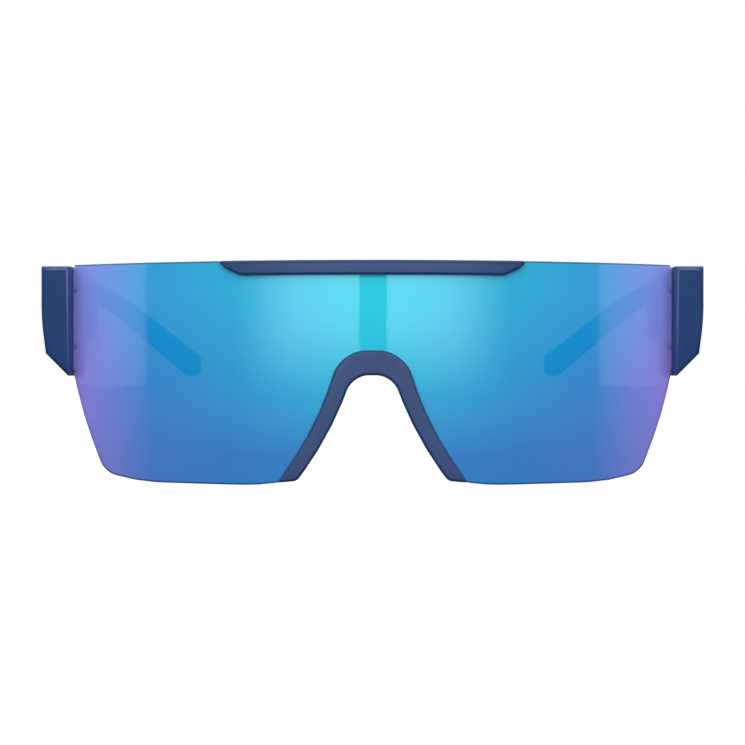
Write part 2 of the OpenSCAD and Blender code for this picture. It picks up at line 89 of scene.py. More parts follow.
def select_edges(piece, wanted):
    """In edit mode, selects the edges whose middle and direction pass a test."""
    bpy.ops.mesh.select_mode(type="EDGE")
    bpy.ops.mesh.select_all(action="DESELECT")
    mesh = bmesh.from_edit_mesh(piece.data)
    for edge in mesh.edges:
        start, end = (v.co for v in edge.verts)
        edge.select = wanted((start + end) / 2, (end - start).normalized(), edge)
    bmesh.update_edit_mesh(piece.data)


def face_outwards(piece):
    """In edit mode, makes a closed piece's faces agree and point out of it."""
    bpy.ops.mesh.select_all(action="SELECT")
    bpy.ops.mesh.normals_make_consistent(inside=False)
    if bmesh.from_edit_mesh(piece.data).calc_volume(signed=True) < 0:
        bpy.ops.mesh.flip_normals()


def trace(name, corners, axes, start, end):
    """Traces an outline of (across, up, radius) corners from a single point, rounds its corners
    and draws it out to a solid. axes names the outline's two directions, such as 'xz', and the
    solid runs along the third from start to end."""
    across, up = ("xyz".index(a) for a in axes)
    along = 3 - across - up
    points = []
    for corner in corners:
        point = Vector()
        point[across], point[up], point[along] = corner[0], corner[1], start
        points.append(point)
    deselect()
    bpy.ops.mesh.primitive_plane_add(size=MM, enter_editmode=True, location=(0, 0, 0))
    piece = bpy.context.object
    piece.name = name
    piece.data.name = name
    bpy.ops.mesh.select_mode(type="VERT")
    bpy.ops.mesh.merge(type="CENTER")
    bpy.ops.transform.translate(value=points[0])
    for here, there in zip(points, points[1:]):
        bpy.ops.mesh.extrude_vertices_move(TRANSFORM_OT_translate={"value": there - here})
    bpy.ops.mesh.select_all(action="SELECT")
    bpy.ops.mesh.edge_face_add()
    bpy.ops.mesh.select_mode(type="VERT")
    for i, corner in enumerate(corners):
        radius = corner[2]
        if radius == 0:
            continue
        back = (points[i - 1] - points[i]).normalized()
        ahead = (points[(i + 1) % len(points)] - points[i]).normalized()
        turn = math.pi - back.angle(ahead)
        mesh = bmesh.from_edit_mesh(piece.data)
        for vertex in mesh.verts:
            vertex.select = (vertex.co - points[i]).length < 1e-6
        mesh.select_flush_mode()
        bmesh.update_edit_mesh(piece.data)
        bpy.ops.mesh.bevel(offset=radius * math.tan(turn / 2), affect="VERTICES",
                           segments=max(2, round(math.degrees(turn) / 6)))
    bpy.ops.mesh.select_all(action="SELECT")
    draw = Vector()
    draw[along] = end - start
    bpy.ops.mesh.extrude_region_move(TRANSFORM_OT_translate={"value": draw})
    face_outwards(piece)
    bpy.ops.object.mode_set(mode="OBJECT")
    return piece


def both_sides(right_half):
    """A whole outline from its right half, which starts and ends on the middle line."""
    left_half = [(-x, z, r) for x, z, r in reversed(right_half[1:-1])]
    return right_half + left_half


def roll(piece, radius, step):
    """Rolls a flat piece, whose face is at Y = 0, to a radius about the lens's axis, after
    cutting it into upright strips that can follow the curve."""
    pick(piece)
    bpy.ops.object.mode_set(mode="EDIT")
    half_w = max(v[0] for v in piece.bound_box)
    for i in range(-math.ceil(half_w / step), math.ceil(half_w / step) + 1):
        bpy.ops.mesh.select_all(action="SELECT")
        bpy.ops.mesh.bisect(plane_co=(i * step, 0, 0), plane_no=(1, 0, 0))
    bpy.ops.object.mode_set(mode="OBJECT")
    for v in piece.data.vertices:
        v.co.y = LENS_AXIS_Y - math.sqrt((radius - v.co.y) ** 2 - v.co.x ** 2)


def clean(piece):
    """Merges slivers and joins flat neighbours left by a cut into single faces."""
    pick(piece)
    bpy.ops.object.mode_set(mode="EDIT")
    bpy.ops.mesh.select_all(action="SELECT")
    bpy.ops.mesh.remove_doubles(threshold=0.04 * MM)
    bpy.ops.mesh.dissolve_limited(angle_limit=math.radians(0.1))
    bpy.ops.object.mode_set(mode="OBJECT")


def cut_with(piece, cutter, operation="INTERSECT"):
    """Keeps what a piece shares with a cutter, or else what lies outside it. Uses the cutter up."""
    apply(piece, "BOOLEAN", operation=operation, solver="EXACT", object=cutter)
    bpy.data.objects.remove(cutter)
    clean(piece)


def mirrored(piece, name):
    """A copy of a piece for the other side, turned right side out."""
    other = piece.copy()
    other.data = piece.data.copy()
    other.name = other.data.name = name
    bpy.context.collection.objects.link(other)
    pick(other)
    other.scale.x = -1
    bpy.ops.object.transform_apply(location=True, rotation=True, scale=True)
    bpy.ops.object.mode_set(mode="EDIT")
    face_outwards(other)
    bpy.ops.object.mode_set(mode="OBJECT")
    return other


def soften(piece, width, steps=3, angle=32):
    """Rounds a piece's sharp edges."""
    apply(piece, "BEVEL", width=width, segments=steps, limit_method="ANGLE",
          angle_limit=math.radians(angle), use_clamp_overlap=False, miter_outer="MITER_ARC")


def shade(piece):
    """Shades a piece as one moulding, with its flats kept flat."""
    pick(piece)
    bpy.ops.object.shade_smooth_by_angle(angle=math.radians(40))
    apply(piece, "WEIGHTED_NORMAL", keep_sharp=True, weight=80)


def linear(code):
    """A linear colour from an sRGB hex code."""
    channels = [int(code[i:i + 2], 16) / 255 for i in (1, 3, 5)]
    return tuple(c / 12.92 if c <= 0.04045 else ((c + 0.055) / 1.055) ** 2.4
                 for c in channels) + (1.0,)


def add_node(tree, kind, settings=None, links=None):
    """Adds a node, gives its properties and sockets their settings, and links its inputs."""
    added = tree.nodes.new(kind)
    for key, value in (settings or {}).items():
        if isinstance(key, int) or key in added.inputs:
            added.inputs[key].default_value = value
        else:
            setattr(added, key, value)
    for socket, source in (links or {}).items():
        tree.links.new(source, added.inputs[socket])
    return added


def start_material(name):
    """An empty material with its output, and the tree that its nodes go in."""
    material = bpy.data.materials.new(name)
    material.use_nodes = True
    material.node_tree.nodes.clear()
    return material, material.node_tree


def finish_material(tree, shader):
    """Links a shader to the material's output."""
    add_node(tree, "ShaderNodeOutputMaterial", links={"Surface": shader.outputs[0]})


def ramp(tree, factor, stops):
    """A colour ramp of (place, hex) stops, driven by a value."""
    added = add_node(tree, "ShaderNodeValToRGB", links={"Fac": factor})
    band = added.color_ramp
    band.elements[0].position, band.elements[0].color = stops[0][0], linear(stops[0][1])
    band.elements[1].position, band.elements[1].color = stops[-1][0], linear(stops[-1][1])
    for place, code in stops[1:-1]:
        band.elements.new(place).color = linear(code)
    return added.outputs["Color"]


lens_outline = both_sides([
    (0, LENS_TOP - 0.9 * MM, 0),
    (32.7 * MM, LENS_TOP - 0.9 * MM, 0),
    (32.7 * MM, LENS_TOP, 0),
    (lens_side_x, LENS_TOP, 0),
    (lens_side_x, tab_top_z, 0),
    (lens_tab_x, tab_top_z, 0),
    (lens_tab_x, tab_foot_z + 1.8 * MM, 0),
    (lens_side_x, tab_foot_z, 0),
    (lens_side_x - 0.05 * MM, 23.8 * MM, 0),
    (lens_side_x - 2.2 * MM, 15 * MM, 70 * MM),
    (lens_side_x - 7.4 * MM, 2.35 * MM, 5 * MM),
    (lens_side_x - 15 * MM, 0.3 * MM, 38 * MM),
    (24.7 * MM, -0.04 * MM, 40 * MM),
    (20.7 * MM, 0.6 * MM, 0),
    (notch_foot_x, 0.9 * MM, 0),
    (11.36 * MM, 10 * MM, 62 * MM),
    (notch_half_w, notch_top_z, 5.9 * MM),
    (0, notch_top_z, 0),
])
lens = trace("mirror_lens", lens_outline, "xz", 0, LENS_T)
soften(lens, lens_edge_polish)
roll(lens, LENS_R, 1.2 * MM)
shade(lens)

# Vacuum-coated dielectric mirror on polished polycarbonate: hard, clear gloss over a colour that
# runs from cyan in the middle to violet at the sides, and deepens towards the foot.
# The hues are the coating's own tint, but the bright cyan middle is a painted reflection of the
# softboxes and the deeper foot is a painted, darker reflection of what lies below.
# The colours towards the ends are also lifted as painted light, to make up for the shade that the
# endpieces cast on the lens.
mirror, tree = start_material("mirror_coated_polycarbonate_painted_reflection")
place = add_node(tree, "ShaderNodeTexCoord").outputs["Object"]
axes = add_node(tree, "ShaderNodeSeparateXYZ", links={"Vector": place})
off_centre = add_node(tree, "ShaderNodeMath", {"operation": "ABSOLUTE"},
                      {0: axes.outputs["X"]}).outputs[0]
MIRROR_END_X = 70 * MM
across = add_node(tree, "ShaderNodeMapRange", {"From Max": MIRROR_END_X},
                  {"Value": off_centre}).outputs[0]
# One line for each height, with the painted reflection and painted light worked in: the colour in
# the middle, at the flank, at the shoulder and at the end
places = [0.0, 0.45, 0.70, 0.95]
tint_and_painted_reflection_bands = [
    (42 * MM, ["#00c8dc", "#00a6d2", "#0898d5", "#7484e6"]),
    (24 * MM, ["#00b4d2", "#0091c9", "#1080ca", "#8478e4"]),
    (6 * MM, ["#007cbd", "#006ebb", "#286cbf", "#7e74ca"]),
]
coat_tint_and_painted_reflection = ramp(tree, across, list(zip(places, tint_and_painted_reflection_bands[0][1])))
for (upper, _), (lower, colours) in zip(tint_and_painted_reflection_bands, tint_and_painted_reflection_bands[1:]):
    share = add_node(tree, "ShaderNodeMapRange", {"From Min": upper, "From Max": lower},
                     {"Value": axes.outputs["Z"]}).outputs[0]
    coat_tint_and_painted_reflection = add_node(tree, "ShaderNodeMix", {"data_type": "RGBA"},
                    {0: share, 6: coat_tint_and_painted_reflection,
                     7: ramp(tree, across, list(zip(places, colours)))}).outputs[2]
finish_material(tree, add_node(tree, "ShaderNodeBsdfPrincipled",
                               {"Roughness": 0.16, "IOR": 1.59, "Metallic": 0.08,
                                "Specular IOR Level": 0.0, "Alpha": 0.945,
                                "Coat Weight": 1.0, "Coat Roughness": 0.02, "Coat IOR": 1.5},
                               {"Base Color": coat_tint_and_painted_reflection}))

# Smoke-tinted polycarbonate: the sheet itself, which shows at the edges and from behind.
smoke, tree = start_material("smoke_tinted_polycarbonate")
place = add_node(tree, "ShaderNodeTexCoord").outputs["Object"]
haze = add_node(tree, "ShaderNodeTexNoise", {"Scale": 60.0, "Detail": 2.0}, {"Vector": place})
finish_material(tree, add_node(tree, "ShaderNodeBsdfPrincipled",
                               {"Roughness": 0.05, "IOR": 1.59, "Alpha": 0.45},
                               {"Base Color": ramp(tree, haze.outputs[0],
                                                   [(0.3, "#1c3f58"), (0.7, "#20465f")])}))

# Polished rim: light that runs inside the sheet leaves at its edges as a dark teal line.
rim, tree = start_material("polished_polycarbonate_edge")
place = add_node(tree, "ShaderNodeTexCoord").outputs["Object"]
height = add_node(tree, "ShaderNodeSeparateXYZ", links={"Vector": place}).outputs["Z"]
finish_material(tree, add_node(tree, "ShaderNodeBsdfPrincipled",
                               {"Roughness": 0.12, "IOR": 1.59},
                               {"Base Color": ramp(tree, add_node(
                                   tree, "ShaderNodeMapRange", {"From Max": 0.05},
                                   {"Value": height}).outputs[0],
                                   [(0.0, "#184f94"), (0.5, "#1c5a86"), (1.0, "#1c4d5e")])}))

for finish in (mirror, smoke, rim):
    lens.data.materials.append(finish)
for face in lens.data.polygons:
    outward = (face.center - Vector((0, LENS_AXIS_Y, face.center.z))).normalized()
    facing = face.normal.dot(outward)
    face.material_index = 0 if facing > 0.98 else 1 if facing < -0.98 else 2
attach(lens, "front")
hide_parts("shield_lens")


# ---- Brow bar ----
# A moulded nylon channel that caps the middle of the lens's top edge. Its front has a bright
# top bevel, a fine shadow groove under it, a flat face and an under-cut lower bevel.

bar_low, bar_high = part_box("brow_bar")
BAR_FRONT_R = LENS_R + 1.6 * MM
BAR_REAR_R = LENS_R - LENS_T - 1 * MM
bar_half_w = 34 * MM
bar_h = bar_high.z - bar_low.z


def moulded_navy(name, top="#2b426e", low="#273d67", rough=0.34, shine=0.35):
    """Injection-moulded nylon, dyed navy: a satin skin with a fine spark-eroded grain."""
    material, tree = start_material(name)
    place = add_node(tree, "ShaderNodeTexCoord").outputs["Object"]
    cloud = add_node(tree, "ShaderNodeTexNoise", {"Scale": 90.0, "Detail": 3.0},
                     {"Vector": place})
    # Mould grain is about 0.05 mm; it is drawn at 0.25 mm so that it shows
    grain = add_node(tree, "ShaderNodeTexNoise", {"Scale": 4000.0, "Detail": 1.0},
                     {"Vector": place})
    bump = add_node(tree, "ShaderNodeBump", {"Strength": 0.06, "Distance": 0.00002},
                    {"Height": grain.outputs[0]})
    sheen = add_node(tree, "ShaderNodeMapRange",
                     {"To Min": rough - 0.05, "To Max": rough + 0.05},
                     {"Value": grain.outputs[0]})
    finish_material(tree, add_node(tree, "ShaderNodeBsdfPrincipled",
                                   {"IOR": 1.53, "Specular IOR Level": shine},
                                   {"Base Color": ramp(tree, cloud.outputs[0],
                                                       [(0.3, low), (0.7, top)]),
                                    "Roughness": sheen.outputs[0],
                                    "Normal": bump.outputs[0]}))
    return material


def two_finishes(piece, radius, face_finish, bevel_finish_and_shade):
    """Gives a rolled piece's front one finish and its bevels and sides another, a darker copy of
    the nylon that carries painted shade.
    """
    piece.data.materials.append(face_finish)
    piece.data.materials.append(bevel_finish_and_shade)
    for face in piece.data.polygons:
        outward = (face.center - Vector((0, LENS_AXIS_Y, face.center.z))).normalized()
        bevel = abs(face.normal.dot(outward)) < 0.97 and face.normal.z < 0.98
        face.material_index = 1 if bevel else 0


navy = moulded_navy("injection_moulded_nylon")
# The bevels' nylon is polished, and its darker colour is painted shade: the dark contour round the
# brow bar and the nose frame.
polished_shaded_bevel = moulded_navy("polished_nylon_bevel_painted_shade", "#123a66", "#10345e", 0.18, 0.3)
bar_outline = both_sides([
    (0, bar_high.z, 0),
    (bar_half_w, bar_high.z, 0.5 * MM),
    (bar_half_w - 2 * MM, bar_high.z - 0.55 * bar_h, 3 * MM),
    (bar_half_w - 5.2 * MM, bar_low.z, 1.5 * MM),
    (0, bar_low.z, 0),
])
bar = trace("brow_bar_moulding", bar_outline, "xz", 0, BAR_FRONT_R - BAR_REAR_R)
soften(bar, 0.55 * MM, 3)
pick(bar)
bpy.ops.object.mode_set(mode="EDIT")
for z in (bar_high.z - 0.62 * MM, bar_high.z - 0.95 * MM):
    bpy.ops.mesh.select_all(action="SELECT")
    bpy.ops.mesh.bisect(plane_co=(0, 0, z), plane_no=(0, 0, 1))
bpy.ops.mesh.select_mode(type="FACE")
bpy.ops.mesh.select_all(action="DESELECT")
mesh = bmesh.from_edit_mesh(bar.data)
for face in mesh.faces:
    middle = face.calc_center_median()
    face.select = (face.normal.y < -0.99
                   and 0.62 * MM < bar_high.z - middle.z < 0.95 * MM)
bmesh.update_edit_mesh(bar.data)
bpy.ops.mesh.extrude_region_move(TRANSFORM_OT_translate={"value": (0, 0.15 * MM, 0)})
bpy.ops.object.mode_set(mode="OBJECT")
roll(bar, BAR_FRONT_R, 2 * MM)
shade(bar)
# The bar's bevels and sides take the darker copy: painted shade.
two_finishes(bar, BAR_FRONT_R, navy, polished_shaded_bevel)
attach(bar, "front")
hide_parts("brow_bar")


# ---- Nose frame ----
# A moulded nylon arch over the lens's notch, with a rounded rim. It clamps the lens between a
# front and a rear band, and is screwed together from behind.

nose_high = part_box("nose_frame")[1]
NOSE_FRONT_R = LENS_R + 1.5 * MM
NOSE_REAR_R = LENS_R - LENS_T - 1.6 * MM
arch_z = 23.9 * MM
arch_half_w = 4.28 * MM
leg_x = 9.637 * MM
leg_half_w = 16.4 * MM
foot_band = 4.3 * MM
outer_half = [
    (0, nose_high.z, 0),
    (arch_half_w + 2.5 * MM, nose_high.z, 7.4 * MM),
    (leg_x + 2.6 * MM, 13.2 * MM, 57 * MM),
    (leg_half_w + foot_band, 0.6 * MM, 0),
    (leg_half_w, 1 * MM, 1.8 * MM),
    (leg_x, 10 * MM, 62 * MM),
    (arch_half_w, arch_z, 5 * MM),
    (0, arch_z, 0),
]
nose_outline = outer_half + [(-x, z, r) for x, z, r in reversed(outer_half[1:-1])]
nose = trace("nose_frame_moulding", nose_outline, "xz", 0, NOSE_FRONT_R - NOSE_REAR_R)
soften(nose, 0.7 * MM, 4)
roll(nose, NOSE_FRONT_R, 2 * MM)
shade(nose)
# The frame's bevels and sides take the darker copy: painted shade.
two_finishes(nose, NOSE_FRONT_R, navy, polished_shaded_bevel)
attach(nose, "front")
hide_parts("nose_frame")


# ---- Nose pads ----
# Soft moulded pads pegged on behind the legs of the nose frame. They open out to the back.

pad_skin, tree = start_material("injection_moulded_elastomer")
place = add_node(tree, "ShaderNodeTexCoord").outputs["Object"]
cloud = add_node(tree, "ShaderNodeTexNoise", {"Scale": 150.0, "Detail": 3.0}, {"Vector": place})
grain = add_node(tree, "ShaderNodeTexNoise", {"Scale": 3000.0, "Detail": 1.0},
                 {"Vector": place})
bump = add_node(tree, "ShaderNodeBump", {"Strength": 0.15, "Distance": 0.00003},
                {"Height": grain.outputs[0]})
finish_material(tree, add_node(tree, "ShaderNodeBsdfPrincipled",
                               {"Roughness": 0.62, "IOR": 1.43, "Sheen Weight": 0.15,
                                "Sheen Roughness": 0.4},
                               {"Base Color": ramp(tree, cloud.outputs[0],
                                                   [(0.3, "#1d2c55"), (0.7, "#23345f")]),
                                "Normal": bump.outputs[0]}))
for side, sign in (("left", 1), ("right", -1)):
    pad_low, pad_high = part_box("nose_pad_" + side)
    deselect()
    bpy.ops.mesh.primitive_cube_add(size=1, enter_editmode=True, location=(0, 0, 0))
    pad = bpy.context.object
    pad.name = "nose_pad_moulding_" + side
    bpy.ops.mesh.subdivide(number_cuts=3)
    mesh = bmesh.from_edit_mesh(pad.data)
    for v in mesh.verts:
        back, up = v.co.y + 0.5, v.co.z + 0.5
        z = pad_low.z + up * (pad_high.z - pad_low.z) * (1 - 0.14 * back) + 0.0006 * back
        inner = 12.6 * MM - 6.3 * MM * up + 1.4 * MM * back
        x = inner + (v.co.x + 0.5) * 2.2 * MM
        y = lens_low.y + 3.9 * MM + back * (pad_high.y - lens_low.y - 3.9 * MM)
        v.co = Vector((sign * x, y, z))
    bmesh.update_edit_mesh(pad.data)
    face_outwards(pad)
    bpy.ops.object.mode_set(mode="OBJECT")
    apply(pad, "SUBSURF", levels=2, render_levels=2)
    pick(pad)
    bpy.ops.object.shade_smooth()
    pad.data.materials.append(pad_skin)
    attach(pad, "front")
    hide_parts("nose_pad_" + side)


# ---- Endpieces ----
# Tall solid nylon blocks at the lens's ends. Each is cut off at 45 degrees below, has broad
# mitred bevels round its front, and takes the lens's tab in a slot between block and lip.

BEVEL_W = 0.95 * MM
# The outer wall stands at WALL_X, leans in to KNEE_X and is cut off from there to FOOT_X
WALL_X, KNEE_X, FOOT_X = 74.3 * MM, 73.3 * MM, 68.3 * MM
CUT_H, LEAN_TOP, LEAN_R = 5 * MM, 12.6 * MM, 40 * MM
BLOCK_X, TAIL_X, LIP_X = 67.8 * MM, 67.0 * MM, 65.8 * MM
# The blocks take a darker copy of the frame's nylon with little shine; the darker colour is painted
# shade.
satin = moulded_navy("satin_moulded_nylon_painted_shade", "#1b3868", "#173462", 0.3, 0.1)
# The polished chamfers are lighter and more violet: a painted highlight and a painted reflection of
# the lens.
painted_highlight_bevel = moulded_navy("polished_nylon_chamfer_painted_highlight", "#2c3f7a", "#283a72", 0.16, 0.5)


def lens_arc_y(radius, x):
    """Where a wall of some radius about the lens's axis lies at a given X."""
    return LENS_AXIS_Y - math.sqrt(radius * radius - x * x)


def wall_section(x, low):
    """Cross-section of the endpiece and the temple: outer face upright, leaning in below."""
    return [(x, low, 0), (FOOT_X, low, 0), (KNEE_X, low + CUT_H, 0),
            (WALL_X, low + LEAN_TOP, LEAN_R), (WALL_X, top_z, 0), (x, top_z, 0)]


end_low, end_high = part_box("endpiece_left")
top_z, end_z = end_high.z, end_low.z
front_y, seam_y, half_w = end_low.y, end_high.y, end_high.x
lip_r = LENS_R - LENS_T - 1.25 * MM
plan = [(BLOCK_X, front_y, 0), (half_w, front_y, 0), (half_w, seam_y, 0),
        (TAIL_X, seam_y, 0), (TAIL_X, lens_arc_y(lip_r, TAIL_X), 0),
        (LIP_X, lens_arc_y(lip_r, LIP_X), 0),
        (LIP_X, lens_arc_y(LENS_R - LENS_T, LIP_X), 0),
        (BLOCK_X, lens_arc_y(LENS_R - LENS_T, BLOCK_X), 0)]
block = trace("endpiece_moulding_left", plan, "xy", end_z - 5 * MM, top_z + 5 * MM)
cut_with(block, trace("section", wall_section(65 * MM, end_z), "xz", front_y - 5 * MM,
                         seam_y + 5 * MM))
pick(block)
bpy.ops.object.mode_set(mode="EDIT")
select_edges(block, lambda middle, way, edge: abs(middle.y - front_y) < 1e-6
             and abs(way.y) < 1e-3)
bpy.ops.mesh.bevel(offset=BEVEL_W, segments=2, profile=0.5, clamp_overlap=False)
bpy.ops.object.mode_set(mode="OBJECT")
for side, piece in (("left", block), ("right", mirrored(block, "endpiece_moulding_right"))):
    soften(piece, 0.22 * MM, 2, 40)
    shade(piece)
    piece.data.materials.append(satin)
    piece.data.materials.append(painted_highlight_bevel)
    # Only the bevels over the top and beside the lens are polished, and their lighter violet colour
    # is painted: a painted highlight over the top and a painted reflection of the lens beside it
    for face in piece.data.polygons:
        bevel = -0.97 < face.normal.y < -0.2
        shown = face.normal.z > 0.3 or face.normal.x * face.center.x < -0.3 * half_w
        face.material_index = 1 if bevel and shown else 0
    # The mirror shows the open studio and not the blocks beside it
    piece.visible_glossy = False
    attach(piece, "front")
    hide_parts("endpiece_" + side)


# ---- Temples ----
# Folding arms moulded in the same nylon: a tall panel flush with the endpiece, which tapers
# to a slim arm that turns in and drops behind the ear. A metal core is moulded in.

PANEL_LEN = 26 * MM
ARM_W, ARM_H, WAIST_H = 2.8 * MM, 4.8 * MM, 3.6 * MM
BEND_R = 58 * MM
TURN_BACK, TURN_IN = 48.5 * MM, math.radians(27.5)
DROP_BACK, DROP_DOWN = 43 * MM, math.radians(25.5)
SLEEVE_LEN, SLEEVE_H, SLEEVE_STEP = 34 * MM, 6.4 * MM, 0.25 * MM
SEAM_GAP, PANEL_X, ARM_LAP = 0.2 * MM, 67 * MM, 4 * MM
LEAN = (7.6, 0, -1)
tip_y = seam_y + 106 * MM
sleeve_y = tip_y - SLEEVE_LEN
panel_y = seam_y + PANEL_LEN


def strip(start, bend, end, widths):
    """The corners of a bent strip about a middle line: its left edge out, its right edge back."""
    one, two = (bend - start).normalized(), (end - bend).normalized()
    first, last = Vector((-one.y, one.x)), Vector((-two.y, two.x))
    mitre = (first + last) / (1 + first.dot(last))
    left = [(start + first * widths[0] / 2, 0), (bend + mitre * widths[1] / 2, BEND_R),
            (end + last * widths[2] / 2, 0)]
    right = [(start - first * widths[0] / 2, 0), (bend - mitre * widths[1] / 2, BEND_R),
             (end - last * widths[2] / 2, 0)]
    return [(p.x, p.y, r) for p, r in left], [(p.x, p.y, r) for p, r in right]


def arm_lines(width, heights):
    """The arm's two outlines, from above and from the side, each as its left and right edge."""
    arm_x = half_w - ARM_W / 2
    bend = Vector((arm_x, tip_y - TURN_BACK))
    from_above = strip(Vector((arm_x, panel_y - ARM_LAP)), bend,
                       bend + TURN_BACK * Vector((-math.tan(TURN_IN), 1)), [width] * 3)
    arm_z = top_z - ARM_H / 2
    bend = Vector((tip_y - DROP_BACK, arm_z))
    from_side = strip(Vector((panel_y - ARM_LAP, arm_z)), bend,
                      bend + DROP_BACK * Vector((1, -math.tan(DROP_DOWN))), heights)
    return from_above, from_side


def cut_off(piece, point, normal):
    """Removes all of a piece beyond a plane and closes the cut."""
    pick(piece)
    bpy.ops.object.mode_set(mode="EDIT")
    bpy.ops.mesh.select_all(action="SELECT")
    bpy.ops.mesh.bisect(plane_co=point, plane_no=Vector(normal).normalized(), clear_outer=True,
                        use_fill=True)
    bpy.ops.object.mode_set(mode="OBJECT")


(inner, outer), (over, under) = arm_lines(ARM_W, [ARM_H, WAIST_H, SLEEVE_H - 2 * SLEEVE_STEP])
start_y = seam_y + SEAM_GAP
plan = [(PANEL_X, start_y, 0), (PANEL_X, seam_y + 10.85 * MM, 12 * MM),
        (half_w - ARM_W, panel_y, 20 * MM)] + inner[1:] + outer[:0:-1] + [
        (half_w, start_y, 0)]
profile = [(start_y, end_z, 0), (start_y + 2.5 * MM, end_z, 5 * MM),
           (panel_y, top_z - ARM_H, 14 * MM)] + under[1:] + over[:0:-1] + [
           (start_y, top_z, 0)]
arm = trace("temple_moulding_left", plan, "xy", -5 * MM, top_z + 5 * MM)
cut_with(arm, trace("profile", profile, "yz", 30 * MM, 80 * MM))
cut_off(arm, (0, sleeve_y, 0), (0, 1, 0))
cut_off(arm, (KNEE_X, 0, end_z + CUT_H), LEAN)
# The endpiece's slanting cut runs on up the panel's rising lower edge and dies out
slant = Vector((6, 26, 18.7)).cross(Vector((1, 0, 1)))
wedge = trace("wedge", [(60 * MM, 10 * MM, 0), (80 * MM, 10 * MM, 0), (80 * MM, 50 * MM, 0),
                        (60 * MM, 50 * MM, 0)], "xz", seam_y - MM, panel_y)
cut_off(wedge, (FOOT_X, seam_y, end_z), -slant)
cut_with(arm, wedge, "DIFFERENCE")
for side, piece in (("left", arm), ("right", mirrored(arm, "temple_moulding_right"))):
    soften(piece, 0.45 * MM, 3)
    shade(piece)
    piece.data.materials.append(navy)
    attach(piece, side + "_temple")
    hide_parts("temple_" + side)


# ---- Ear sleeves ----
# Soft elastomer moulded over the end of each metal core. It starts at a sharp step, widens
# towards its rounded tip and has softly rounded edges.

TIP_R_ABOVE, TIP_R_SIDE, SLEEVE_ROUND = 1.4 * MM, 2.8 * MM, 1.25 * MM
(inner, outer), (over, under) = arm_lines(
    ARM_W + 2 * SLEEVE_STEP, [ARM_H, WAIST_H + 2 * SLEEVE_STEP, SLEEVE_H])
inner[2], outer[2] = (*inner[2][:2], TIP_R_ABOVE), (*outer[2][:2], TIP_R_ABOVE)
over[2], under[2] = (*over[2][:2], TIP_R_SIDE), (*under[2][:2], TIP_R_SIDE)
sleeve = trace("ear_sleeve_moulding_left", inner + outer[::-1], "xy", -5 * MM, top_z + 5 * MM)
cut_with(sleeve, trace("profile", over + under[::-1], "yz", 30 * MM, 80 * MM))
cut_off(sleeve, (0, sleeve_y, 0), (0, -1, 0))
pick(sleeve)
bpy.ops.object.mode_set(mode="EDIT")
select_edges(sleeve, lambda middle, way, edge: abs(middle.y - sleeve_y) > 1e-5
             and len(edge.link_faces) == 2 and edge.calc_face_angle() > 0.6)
bpy.ops.mesh.bevel(offset=SLEEVE_ROUND, segments=5, clamp_overlap=False)
bpy.ops.object.mode_set(mode="OBJECT")
for side, piece in (("left", sleeve), ("right", mirrored(sleeve, "ear_sleeve_moulding_right"))):
    pick(piece)
    bpy.ops.object.shade_smooth_by_angle(angle=math.radians(40))
    piece.data.materials.append(pad_skin)
    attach(piece, side + "_temple")
    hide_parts("ear_sleeve_" + side)


# ---- Hinges and screws ----
# Stamped stainless leaves with turned barrels, and slotted stainless screws, all fitted from
# the inside. Turning leaves fine rings and stamping a slight mottle, both bright and even.

steel, tree = start_material("turned_stainless_steel")
place = add_node(tree, "ShaderNodeTexCoord").outputs["Object"]
# Tool marks are about 0.1 mm apart; they are drawn 0.3 mm apart so that they show
marks = add_node(tree, "ShaderNodeTexWave", {"Scale": 3300.0 / 6.283, "Distortion": 1.5,
                                             "bands_direction": "Z"}, {"Vector": place})
mottle = add_node(tree, "ShaderNodeTexNoise", {"Scale": 700.0, "Detail": 3.0},
                  {"Vector": place})
polish = add_node(tree, "ShaderNodeMapRange", {"To Min": 0.2, "To Max": 0.38},
                  {"Value": mottle.outputs[0]})
bump = add_node(tree, "ShaderNodeBump", {"Strength": 0.08, "Distance": 0.00002},
                {"Height": marks.outputs["Fac"]})
finish_material(tree, add_node(tree, "ShaderNodeBsdfPrincipled", {"Metallic": 1.0},
                               {"Base Color": ramp(tree, mottle.outputs[0],
                                                   [(0.3, "#b4b8be"), (0.7, "#c8cbd0")]),
                                "Roughness": polish.outputs[0], "Normal": bump.outputs[0]}))
for name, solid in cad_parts.items():
    if "screw" in name or "leaf" in name or "core" in name:
        solid.data.materials.clear()
        solid.data.materials.append(steel)


# ---- Camera ----
# A long lens at the height of the shield's middle, square to the front.

deselect()
CAMERA_BACK, CAMERA_Z = 0.560, 0.02452
bpy.ops.object.camera_add(location=(0, lens_low.y - CAMERA_BACK, CAMERA_Z),
                          rotation=(math.radians(90), 0, 0))
camera = bpy.context.object
camera.data.lens = 125
camera.data.sensor_width = 36
camera.data.clip_start = 0.01
bpy.context.scene.camera = camera


# ---- Studio ----
# A white room with a dimmer wall before the glasses and two tall softboxes side by side,
# which fade towards their outer and lower edges and leave a dark gap between them.

